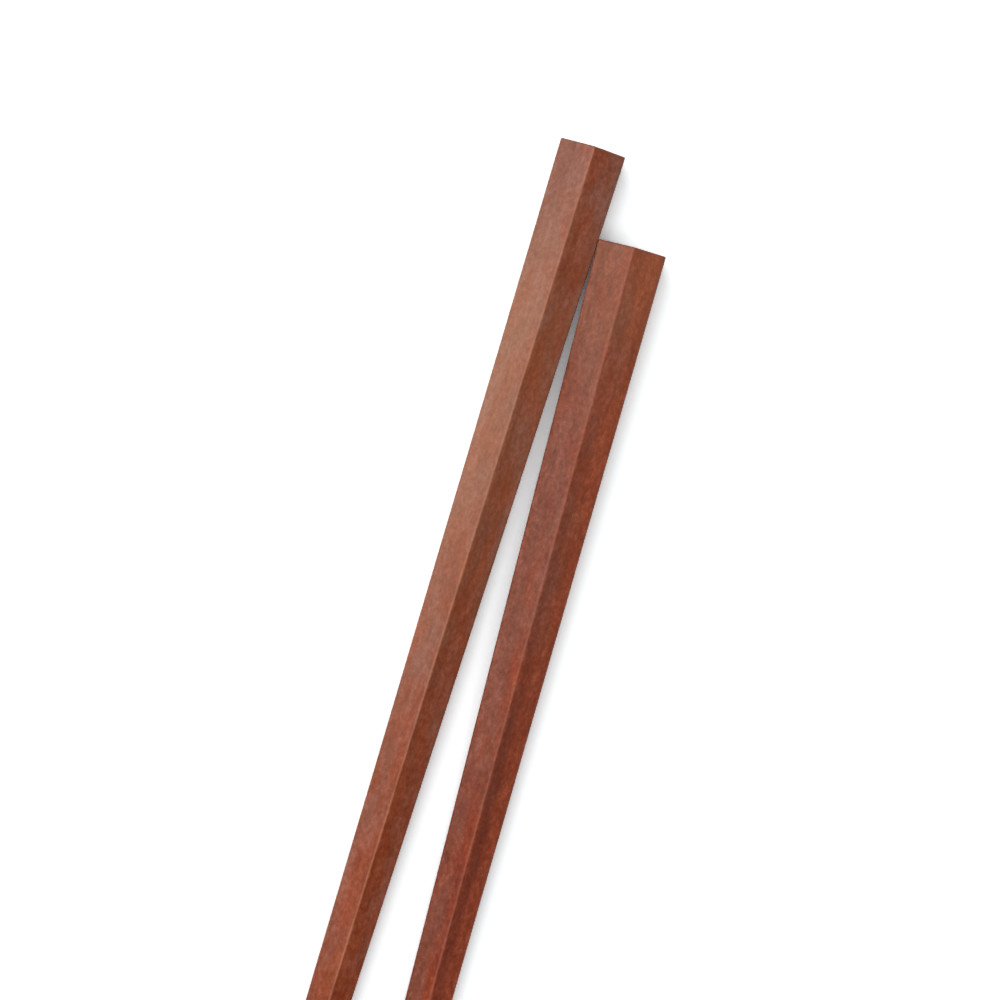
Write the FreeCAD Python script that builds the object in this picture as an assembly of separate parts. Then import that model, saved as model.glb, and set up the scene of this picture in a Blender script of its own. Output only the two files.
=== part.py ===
import FreeCAD, Part
import math
import os

# A pair of straight wooden chopsticks, each cut from one length of wood. They taper from a thick
# head to a slim tip, and their section is a regular pentagon. They lie side by side on a surface,
# each on one of its five faces with a ridge on top. The heads touch and the tips lie apart.
# Millimetres and degrees. +X points to the heads, +Z is up, and both sticks rest on z = 0.
# The origin is the middle of the pair seen from above, at the height of that surface.

# Left stick, on the +Y side
left_length = 230.0
left_head_width = 8.8
left_tip_width = 2.8

# Right stick, on the -Y side
right_length = 230.0
right_head_width = 9.1
right_tip_width = 2.1

# Radius on every edge of both sticks. The widths above are taken across the two side edges, over it.
edge_easing = 0.3

# How the pair lies
head_stagger = 11.1
splay_angle = 2.1
touch_clearance = 0.02

# A regular pentagon. Angles are about its centre, from one corner to the next and from +Y to a
# corner, apart from the one that is half of the angle between two faces.
sides = 5
corner_step_angle = 360.0 / sides
ridge_angle = 90.0
side_corner_angle = ridge_angle - corner_step_angle
half_inner_angle = 90.0 - corner_step_angle / 2

# An easing larger than this share of the tip's width would leave no face between two edges.
easing_limit = 0.25

# The right stick is slid up to the left one from this far off, in steps that close to the clearance.
slide_start = 30.0
slide_steps = 12


def sine(angle):
    return math.sin(math.radians(angle))


def cosine(angle):
    return math.cos(math.radians(angle))


def easing_of(tip_width):
    return min(edge_easing, easing_limit * tip_width)


def corner_radius(width, easing):
    """Centre to sharp corner, of the pentagon that is this wide once its corners are eased."""
    lost_at_corner = easing * (cosine(side_corner_angle) / sine(half_inner_angle) - 1)
    return (width / 2 + lost_at_corner) / cosine(side_corner_angle)


def base_depth(width, easing):
    """Centre of the section to the face that it lies on."""
    return corner_radius(width, easing) * cosine(corner_step_angle / 2)


def section_corners(width, easing, x):
    radius = corner_radius(width, easing)
    angles = [ridge_angle + corner_step_angle * i for i in range(sides)]
    return [FreeCAD.Vector(x, radius * cosine(a), radius * sine(a)) for a in angles]


def flat_face(corners):
    return Part.Face(Part.makePolygon(corners + corners[:1]))


def tapered_stick(length, head_width, tip_width):
    """One stick about its own centreline, from the middle of its head at the origin to -X."""
    easing = easing_of(tip_width)
    head = section_corners(head_width, easing, 0)
    tip = section_corners(tip_width, easing, -length)
    faces = [flat_face(head), flat_face(tip)]
    for i in range(sides):
        j = (i + 1) % sides
        faces.append(flat_face([head[i], head[j], tip[j], tip[i]]))
    sharp = Part.Solid(Part.Shell(faces))
    return sharp.makeFillet(easing, sharp.Edges)


def lie_flat(stick, length, head_width, tip_width):
    """Tips the stick onto its lower face, which then lies on z = 0."""
    easing = easing_of(tip_width)
    head_depth = base_depth(head_width, easing)
    tip_depth = base_depth(tip_width, easing)
    rise = math.atan2(head_depth - tip_depth, length)
    stick.rotate(FreeCAD.Vector(), FreeCAD.Vector(0, 1, 0), -math.degrees(rise))
    stick.translate(FreeCAD.Vector(0, 0, head_depth * math.cos(rise)))


def turn_about_head(stick, angle):
    stick.rotate(FreeCAD.Vector(), FreeCAD.Vector(0, 0, 1), angle)


def slide_against(stick, neighbour):
    """Moves the stick towards +Y until only the clearance is left between the two."""
    for _ in range(slide_steps):
        gap = stick.distToShape(neighbour)[0]
        stick.translate(FreeCAD.Vector(0, gap - touch_clearance, 0))


def left_chopstick():
    stick = tapered_stick(left_length, left_head_width, left_tip_width)
    lie_flat(stick, left_length, left_head_width, left_tip_width)
    turn_about_head(stick, -splay_angle / 2)
    return stick


def right_chopstick(neighbour):
    stick = tapered_stick(right_length, right_head_width, right_tip_width)
    lie_flat(stick, right_length, right_head_width, right_tip_width)
    turn_about_head(stick, splay_angle / 2)
    stick.translate(FreeCAD.Vector(-head_stagger, -slide_start, 0))
    slide_against(stick, neighbour)
    return stick


def centre_on_origin(shapes):
    """Puts the middle of all the shapes, seen from above, on the origin."""
    box = FreeCAD.BoundBox()
    for shape in shapes:
        box.add(shape.optimalBoundingBox(False, False))
    for shape in shapes:
        shape.translate(FreeCAD.Vector(-box.Center.x, -box.Center.y, 0))


left = left_chopstick()
right = right_chopstick(left)
centre_on_origin([left, right])

os.makedirs("parts", exist_ok=True)
for name, shape in {"left_chopstick": left, "right_chopstick": right}.items():
    shape.exportStep("parts/" + name + ".step")
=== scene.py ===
import bmesh
import bpy
import math
from mathutils import Matrix, Vector, noise


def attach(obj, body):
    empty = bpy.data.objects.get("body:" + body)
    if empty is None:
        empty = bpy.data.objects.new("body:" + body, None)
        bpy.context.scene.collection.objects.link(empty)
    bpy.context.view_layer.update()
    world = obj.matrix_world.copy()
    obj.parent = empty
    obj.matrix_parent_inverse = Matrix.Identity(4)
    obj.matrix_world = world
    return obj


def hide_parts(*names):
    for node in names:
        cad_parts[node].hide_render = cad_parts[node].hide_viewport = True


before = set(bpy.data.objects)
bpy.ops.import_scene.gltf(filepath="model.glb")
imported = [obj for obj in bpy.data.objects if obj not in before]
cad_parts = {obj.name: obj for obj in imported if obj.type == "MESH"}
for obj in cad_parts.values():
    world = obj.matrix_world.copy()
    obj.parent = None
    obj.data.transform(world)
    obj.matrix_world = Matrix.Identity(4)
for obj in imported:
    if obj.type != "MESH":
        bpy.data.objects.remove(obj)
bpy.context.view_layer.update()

mm = 0.001
up = Vector((0, 0, 1))

# The view: an eye high above the heads that looks almost straight down through a long lens.
eye = Vector((0.0740, 0.0232, 0.600))
aim = Vector((0.0731, 0.0028, 0.0))
sensor_width = 36.0
focal_length = 164.95

# Upwards in the picture is the way that the heads point, turned to the left by this angle.
picture_turn = math.radians(16.19)
picture_up = Vector((math.cos(picture_turn), math.sin(picture_turn), 0))

# A section of a stick is five arcs with a flat after each. The extra points beside an arc keep the
# flat's shading flat.
sides = 5
arc_steps = 6
flat_places = (0, 0.05, 0.25, 0.5, 0.75, 0.95)
skin_steps = 462
end_steps = 5
end_face_scales = (0.96, 0.7, 0.4, 0)

# The wood's colours are set over the stretch that the photograph shows and to half of the head's
# width on each side.
visible_length = 120 * mm
half_width = 4.4 * mm

# The dark streak beside the ridge: its right and left edges, and its strength from one to the other.
streak_edges = (-1.9 * mm, -0.1 * mm)
streak_profile = (0, 0.5, 1, 1, 0)

# The year rings that the ends show. Their pith runs outside the stick, to the right of it.
ring_width = 0.9 * mm
pith_aside = 9 * mm

# The ends are eased less than the long arrises. This power squares the round that leads to them.
end_squareness = 0.5

# Planing leaves the flats a hair hollow in places, and use wears the arrises down a little.
planing_depth = 0.02 * mm
planing_length = 14 * mm
planing_width = 3 * mm
wear_depth = 0.05 * mm
wear_length = 9 * mm

# The map for the finish: the skin in columns, cut across, under a band for the ends.
map_columns = 3
column_steps = skin_steps // map_columns
column_fill = 0.97
row_fill = 0.98
columns_top = 0.86
ends_height = 0.93
head_place = 0.25
tip_place = 0.75
end_scale = 0.125 / (10 * mm)

# The paper under the sticks. The photograph overexposes it by nearly a stop, and away from the
# sticks it is pure white.
paper_white = 0.92
overexposed_white = 1.75
fade_start = 0.16
fade_end = 0.30


def colour(code):
    """Linear colour of an sRGB hex code."""
    parts = [int(code[i:i + 2], 16) / 255 for i in (1, 3, 5)]
    return [c / 12.92 if c <= 0.04045 else ((c + 0.055) / 1.055) ** 2.4 for c in parts] + [1]


def add(tree, kind, inputs=None, stops=(), **settings):
    """Adds a node. inputs gives each socket, by name or number, its value or the socket that feeds
    it. stops are the colours of a ramp, spaced evenly."""
    node = tree.nodes.new("ShaderNode" + kind)
    for name, value in settings.items():
        setattr(node, name, value)
    for name, value in (inputs or {}).items():
        if isinstance(value, bpy.types.NodeSocket):
            tree.links.new(value, node.inputs[name])
        else:
            node.inputs[name].default_value = value
    if stops:
        ramp = node.color_ramp.elements
        ramp[0].color, ramp[1].color = stops[0], stops[-1]
        for number, stop in enumerate(stops[1:-1], 1):
            ramp.new(number / (len(stops) - 1)).color = stop
    return node


def new_material(name):
    material = bpy.data.materials.new(name)
    material.use_nodes = True
    material.node_tree.nodes.clear()
    return material


def end_corners(mesh, heading):
    """Corners of the flat face at one end, from the ridge round by the right, and its normal."""
    flat = max((p for p in mesh.polygons if p.normal.x * heading > 0.9), key=lambda p: p.area)
    normal = flat.normal.copy()
    on_face = [v.co for v in mesh.vertices if abs((v.co - flat.center).dot(normal)) < 1e-6]
    top = (up - normal * normal.z).normalized()
    left = top.cross(normal * heading)
    corners = []
    for k in range(sides):
        angle = math.radians(90 + 360 / sides * k)
        outwards = left * math.cos(angle) + top * math.sin(angle)
        corners.append(max(on_face, key=outwards.dot).copy())
    return corners, normal


class Stick:
    """One stick's form, from its solid: a core with five corners at each end, and the easing round it.
    Its own axes start at the middle of the head: X runs on past the head, and Z to the ridge."""

    def __init__(self, node, seed):
        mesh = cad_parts[node].data
        head, normal = end_corners(mesh, 1)
        tip, tip_normal = end_corners(mesh, -1)
        self.seed = seed
        # The core's lower corners lie as high as the easing, and as far inside the end face.
        self.easing = (head[2].z + head[3].z) / 2 / (1 + normal.z)
        top = (up - normal * normal.z).normalized()
        turn = Matrix((normal, top.cross(normal), top)).transposed()
        self.placement = Matrix.Translation(sum(head, Vector()) / sides) @ turn.to_4x4()
        into_own = self.placement.inverted()
        self.head = [into_own @ (corner - normal * self.easing) for corner in head]
        self.tip = [into_own @ (corner - tip_normal * self.easing) for corner in tip]
        self.normals = [self.face_normal(k) for k in range(sides)]

    def face_normal(self, k):
        across = self.head[(k + 1) % sides] - self.head[k]
        return (self.tip[k] - self.head[k]).cross(across).normalized()

    def hollow(self, point):
        """How far planing has cut below the true flat."""
        at = Vector((point.x / planing_length, point.y / planing_width, point.z / planing_width))
        return planing_depth * (0.5 + 0.5 * noise.noise(at + Vector((self.seed, 0, 0))))

    def wear(self, x, k):
        """How far the arris of a corner is worn down."""
        return wear_depth * (0.5 + 0.5 * noise.noise(Vector((x / wear_length, 7 * k, self.seed))))


def section_places():
    """The points round a section: (corner, share of its arc, share of the flat after it)."""
    places = []
    for k in range(sides):
        places += [(k, step / arc_steps, 0) for step in range(arc_steps)]
        places += [(k, 1, share) for share in flat_places]
    return places


def ring_specs():
    """Every section from head to tip: (share of the length, turn towards the end, which end, scale)."""
    quarter = math.pi / 2
    end = [(quarter * step / end_steps, 1) for step in range(1, end_steps + 1)]
    end += [(quarter, scale) for scale in end_face_scales]
    head = [(0, turn, 1, scale) for turn, scale in reversed(end)]
    skin = [(step / skin_steps, 0, 1, 1) for step in range(skin_steps + 1)]
    tip = [(1, turn, -1, scale) for turn, scale in end]
    return head + skin + tip


def ring(stick, share, turn, heading, scale):
    """One section's points, each with how worn it is and how much of it is end grain."""
    corners = [head.lerp(tip, share) for head, tip in zip(stick.head, stick.tip)]
    middle = sum(corners, Vector()) / sides
    points = []
    for k, arc, flat in section_places():
        core = corners[k].lerp(corners[(k + 1) % sides], flat)
        core = middle + (core - middle) * scale
        outwards = stick.normals[k - 1].slerp(stick.normals[k], arc)
        directions = (math.cos(turn), math.sin(turn))
        sideways, endways = (max(part, 0) ** end_squareness for part in directions)
        lift = outwards * sideways + Vector((heading * endways, 0, 0))
        on_arris = math.sin(math.pi * arc)
        cut = stick.hollow(core) + on_arris * stick.wear(core.x, k)
        point = core + lift * (stick.easing - cut * math.cos(turn))
        points.append((point, max(on_arris * math.cos(turn), math.sin(2 * turn)), math.sin(turn)))
    return points


def skin_on_map(step, ring_step, around):
    """Where a point of the skin lies on the map. step is that of the face, ring_step of its section."""
    column = step // column_steps
    along = 0.5 + ((ring_step - column * column_steps) / column_steps - 0.5) * row_fill
    across = 0.5 + (around - 0.5) * column_fill
    return (column + across) / map_columns, columns_top * along


def end_on_map(middle, point):
    return middle + point.y * end_scale, ends_height + point.z * end_scale


def chopstick(name, stick):
    """The stick's mesh, closed from the middle of one end face to the middle of the other."""
    rings = [ring(stick, *spec) for spec in ring_specs()]
    count = len(rings[0])
    first_skin = end_steps + len(end_face_scales)
    faces, places = [], []
    for i in range(len(rings) - 1):
        step = i - first_skin
        for j in range(count):
            corners = [(i, j), (i + 1, j), (i + 1, j + 1), (i, j + 1)]
            faces.append([a * count + b % count for a, b in corners])
            for a, b in corners:
                if 0 <= step < skin_steps:
                    places.append(skin_on_map(step, a - first_skin, b / count))
                else:
                    middle = head_place if step < 0 else tip_place
                    places.append(end_on_map(middle, rings[a][b % count][0]))
    entries = [entry for points in rings for entry in points]
    mesh = bpy.data.meshes.new(name)
    mesh.from_pydata([stick.placement @ point for point, worn, end_grain in entries], [], faces)
    mesh.uv_layers.new(name="OFBake").uv.foreach_set("vector", [n for place in places for n in place])
    own_place = mesh.attributes.new("own_place", "FLOAT_VECTOR", "POINT")
    own_place.data.foreach_set("vector", [n for point, worn, end_grain in entries for n in point])
    for number, attribute in ((1, "worn"), (2, "end_grain")):
        layer = mesh.attributes.new(attribute, "FLOAT", "POINT")
        layer.data.foreach_set("value", [entry[number] for entry in entries])
    tidy = bmesh.new()
    tidy.from_mesh(mesh)
    bmesh.ops.remove_doubles(tidy, verts=tidy.verts, dist=0.001 * mm)
    tidy.to_mesh(mesh)
    tidy.free()
    mesh.shade_smooth()
    piece = bpy.data.objects.new(name, mesh)
    bpy.context.scene.collection.objects.link(piece)
    return piece


def wiped_rosewood(name, look):
    """Rosewood, planed, sanded and wiped with clear lacquer that soaks in and is rubbed back. The eye
    sees red-brown wood, mottled, with short fine grain and open pores, under a satin sheen. Its hue
    wanders between brown and red. Towards the heads it is paler, partly from hands and partly from a
    painted sheen, and it is paler where the arrises are rubbed. It is darker in a streak beside the
    ridge and on the end grain."""
    material = new_material(name)
    tree = material.node_tree
    own = add(tree, "Attribute", attribute_name="own_place").outputs["Vector"]
    worn = add(tree, "Attribute", attribute_name="worn").outputs["Fac"]
    end_grain = add(tree, "Attribute", attribute_name="end_grain").outputs["Fac"]
    axes = add(tree, "SeparateXYZ", {0: own}).outputs

    def pattern(length, width, detail, shift):
        """Noise with grains this long along the stick and this wide across it, in millimetres. shift
        sets it apart from the other patterns."""
        scale = [1 / (length * mm), 1 / (width * mm), 1 / (width * mm)]
        start = [look["seed"] + shift, 3 * shift, 5 * shift]
        placed = add(tree, "Mapping", {"Vector": own, "Location": start, "Scale": scale})
        settings = {"Vector": placed.outputs[0], "Scale": 1, "Detail": detail, "Roughness": 0.75}
        return add(tree, "TexNoise", settings).outputs["Fac"]

    def weighted(start, parts):
        """The sum of start and the parts, each times its weight."""
        total = start
        for part, weight in parts:
            inputs = {0: part, 1: weight, 2: total}
            total = add(tree, "Math", inputs, operation="MULTIPLY_ADD").outputs[0]
        return total

    def spread(shares, axis, first, last):
        """These shares, spaced evenly between two places on an axis of the stick."""
        place = add(tree, "MapRange", {"Value": axes[axis], "From Min": first, "From Max": last})
        greys = [[share] * 3 + [1] for share in shares]
        return add(tree, "ValToRGB", {"Fac": place.outputs[0]}, greys).outputs[0]

    def along(key):
        return spread(look[key], "X", 0, -visible_length)

    def across(key):
        return spread(look[key], "Y", -half_width, half_width)

    # A noise is a half on average, so half of the noises' weights is taken off again, and the hue loses
    # another half. Fibres are too fine to show, so the grain is drawn as coarse as it needs to show.
    growth = pattern(17, 2.0, 1, 2.7)
    mottle = pattern(3.0, 1.4, 1, 4.1)
    grain = pattern(0.7, 0.52, 2, 5.9)
    figure = weighted(across("light_across"), ((growth, 0.6), (mottle, 0.7), (grain, 1.5), (1, -1.4)))
    drift = pattern(30, 5, 1, 1.3)
    flush = pattern(7, 2.6, 1, 7.7)
    reds = ((across("red_across"), 1), (drift, 1.1), (flush, 2.1), (1, -2.1))
    hue = weighted(along("red_along"), reds)
    # A Mix node's sockets 6 and 7 are its two colours, and its output 2 is the mixed one.
    shades = [[colour(code) for code in look[key]] for key in ("brown", "red")]
    brown, red = (add(tree, "ValToRGB", {"Fac": figure}, stops).outputs[0] for stops in shades)
    wood = add(tree, "Mix", {0: hue, 6: brown, 7: red}, data_type="RGBA").outputs[2]

    noise_range = {"Value": pattern(1.2, 0.17, 0, 8.3), "From Min": 0.66, "From Max": 0.8}
    pores = add(tree, "MapRange", noise_range).outputs[0]
    beside_ridge = spread(streak_profile, "Y", *streak_edges)
    # The wave texture has a wave to every tenth of pi, before its scale.
    pith = add(tree, "Mapping", {"Vector": own, "Location": [0, pith_aside, look["pith_below"]]})
    waves = {"Vector": pith.outputs[0], "Scale": math.pi / 10 / ring_width,
             "Distortion": 2.5, "Detail": 2}
    rings = add(tree, "TexWave", waves, wave_type="RINGS", rings_direction="X").outputs["Fac"]
    years = add(tree, "MapRange", {"Value": rings, "To Min": 0.35, "To Max": 0.6}).outputs[0]
    # Each layer covers the wood with its colour, by the product of its factors.
    layers = (
        ((pores, 0.22), "#4A2418"),
        # Paler towards the heads: partly hand wear, partly a painted sheen.
        ((along("pale_and_sheen_along"), across("pale_and_sheen_across")), "#EAB07C"),
        ((along("streak_along"), beside_ridge), "#4A1404"),
        ((worn, mottle, 0.5), look["rubbed"]),
        ((end_grain, years), "#42201A"),
    )
    for (share, *factors), code in layers:
        for factor in factors:
            share = add(tree, "Math", {0: share, 1: factor}, operation="MULTIPLY").outputs[0]
        wood = add(tree, "Mix", {0: share, 6: wood, 7: colour(code)}, data_type="RGBA").outputs[2]

    roughness = weighted(0.33, ((mottle, 0.1), (grain, 0.08), (end_grain, 0.2), (worn, 0.15)))
    relief = weighted(0, ((grain, 1), (pores, -1.5)))
    bump = add(tree, "Bump", {"Strength": 1.0, "Distance": 0.005 * mm, "Height": relief})
    inputs = {"Base Color": wood, "Roughness": roughness, "IOR": 1.5, "Normal": bump.outputs[0]}
    principled = add(tree, "BsdfPrincipled", inputs)
    add(tree, "OutputMaterial", {"Surface": principled.outputs[0]})
    return material


def white_paper():
    """Matt white paper. The eye sees a white ground with soft shadows and no horizon."""
    material = new_material("white seamless paper")
    tree = material.node_tree
    seen = add(tree, "LightPath").outputs["Is Camera Ray"]
    white = add(tree, "MapRange", {"Value": seen, "To Min": paper_white, "To Max": overexposed_white})
    tint = {0: colour("#F6FDFF")[:3], "Scale": white.outputs[0]}
    tinted = add(tree, "VectorMath", tint, operation="SCALE")
    paper = add(tree, "BsdfDiffuse", {"Color": tinted.outputs[0]})
    place = add(tree, "NewGeometry").outputs["Position"]
    distance = add(tree, "VectorMath", {0: place}, operation="LENGTH").outputs["Value"]
    fade = add(tree, "MapRange", {"Value": distance, "From Min": fade_start, "From Max": fade_end})
    share = add(tree, "Math", {0: fade.outputs[0], 1: seen}, operation="MULTIPLY")
    glow = add(tree, "Emission", {"Color": [1, 1, 1, 1], "Strength": 1.0})
    surface = add(tree, "MixShader", {0: share.outputs[0], 1: paper.outputs[0], 2: glow.outputs[0]})
    add(tree, "OutputMaterial", {"Surface": surface.outputs[0]})
    return material


def floor():
    """A wide sheet of paper. It lies a hair below the sticks, so that no two faces share a plane."""
    reach = 1.5
    height = -0.02 * mm
    mesh = bpy.data.meshes.new("floor")
    corners = [(reach * x, reach * y, height) for x, y in ((-1, -1), (1, -1), (1, 1), (-1, 1))]
    mesh.from_pydata(corners, [], [(0, 1, 2, 3)])
    mesh.materials.append(white_paper())
    piece = bpy.data.objects.new("floor", mesh)
    bpy.context.scene.collection.objects.link(piece)


def look_at(thing, place, target, upwards):
    back = (place - target).normalized()
    right = upwards.cross(back).normalized()
    turn = Matrix((right, back.cross(right), back)).transposed()
    thing.matrix_world = Matrix.Translation(place) @ turn.to_4x4()


def soft_light(name, target, *, bearing, elevation, distance, size, level):
    """A round soft box. bearing is its direction from the target in degrees, from +Y towards +X. level
    is the light that it gives the floor at the target, where 1 is full white."""
    bearing, elevation = math.radians(bearing), math.radians(elevation)
    level_part = Vector((math.sin(bearing), math.cos(bearing), 0)) * math.cos(elevation)
    lamp = bpy.data.lights.new(name, "AREA")
    lamp.shape = "DISK"
    lamp.size = size
    lamp.energy = level * math.pi ** 2 * distance ** 2 / math.sin(elevation)
    light = bpy.data.objects.new(name, lamp)
    light.visible_camera = False
    look_at(light, target + (level_part + up * math.sin(elevation)) * distance, target, up)
    bpy.context.scene.collection.objects.link(light)


def daylight(level):
    """The room's even light, which the eye sees as a white background."""
    world = bpy.data.worlds.new("even daylight")
    world.use_nodes = True
    tree = world.node_tree
    tree.nodes.clear()
    seen = add(tree, "LightPath").outputs["Is Camera Ray"]
    strength = add(tree, "MapRange", {"Value": seen, "To Min": level, "To Max": 1.0})
    background = add(tree, "Background", {"Color": [1, 1, 1, 1], "Strength": strength.outputs[0]})
    add(tree, "OutputWorld", {"Surface": background.outputs[0]})
    bpy.context.scene.world = world


def camera():
    data = bpy.data.cameras.new("camera")
    data.sensor_width = sensor_width
    data.lens = focal_length
    view = bpy.data.objects.new("camera", data)
    look_at(view, eye, aim, picture_up)
    bpy.context.scene.collection.objects.link(view)
    bpy.context.scene.camera = view


# The two sticks' woods. Shades go from dark to light. The other lists are spaced evenly, from the head
# down or from the right side to the left. The share of red is red_along and red_across less a half.
left_look = {
    "seed": 11.0,
    "pith_below": 9.5 * mm,
    "brown": ("#7D422E", "#935945", "#A97063"),
    "red": ("#7F2D0A", "#984522", "#B15D3F"),
    "rubbed": "#D08A5C",
    "red_along": (0.4, 0.4, 0.4, 0.6, 0.9, 0.95),
    "red_across": (0.1, 0.35, 0.8, 0.5, 0.3, 0.2),
    "light_across": (0.55, 0.55, 0.55, 0.5, 0.5, 0.5),
    # The paling towards the heads is partly hand wear and partly a painted sheen.
    "pale_and_sheen_along": (0, 0.15, 0.13, 0.04, 0, 0),
    "pale_and_sheen_across": (0.5, 0.5, 0.5, 0.8, 1, 1),
    "streak_along": (0, 0.05, 0.1, 0.1, 0, 0),
}
right_look = {
    "seed": 47.0,
    "pith_below": -8.5 * mm,
    "brown": ("#702E18", "#8E4B38", "#AC685A"),
    "red": ("#731802", "#953610", "#B95436"),
    "rubbed": "#9A5036",
    "red_along": (0.4, 0.4, 0.45, 0.6, 0.6, 0.6),
    "red_across": (1.4, 1.15, 0.9, 0.45, 0, 0),
    "light_across": (0.45, 0.55, 0.5, 0.38, 0.38, 0.45),
    # The paling towards the heads is partly hand wear and partly a painted sheen.
    "pale_and_sheen_along": (0.15, 0.07, 0.06, 0.04, 0.03, 0.02),
    "pale_and_sheen_across": (1, 1, 1, 0.7, 0.6, 0.6),
    "streak_along": (0, 0.15, 0.25, 0.4, 0.35, 0.3),
}
for side, look in (("left", left_look), ("right", right_look)):
    node = side + "_chopstick"
    piece = chopstick(node + "_finished", Stick(node, look["seed"]))
    piece.data.materials.append(wiped_rosewood("wiped lacquer on rosewood, " + side, look))
    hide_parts(node)
    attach(piece, "root")

floor()
daylight(level=0.12)
middle = Vector((0.05, 0, 0))
upper = Vector((0.09, 0, 0))
soft_light("soft box overhead", middle,
           bearing=180, elevation=89.5, distance=0.9, size=0.74, level=0.51)
soft_light("window on the left", upper,
           bearing=30, elevation=46, distance=0.7, size=0.66, level=0.375)
soft_light("low window on the left", upper,
           bearing=0, elevation=18, distance=0.38, size=0.18, level=0.02)
camera()
bpy.context.scene.view_settings.view_transform = "Standard"
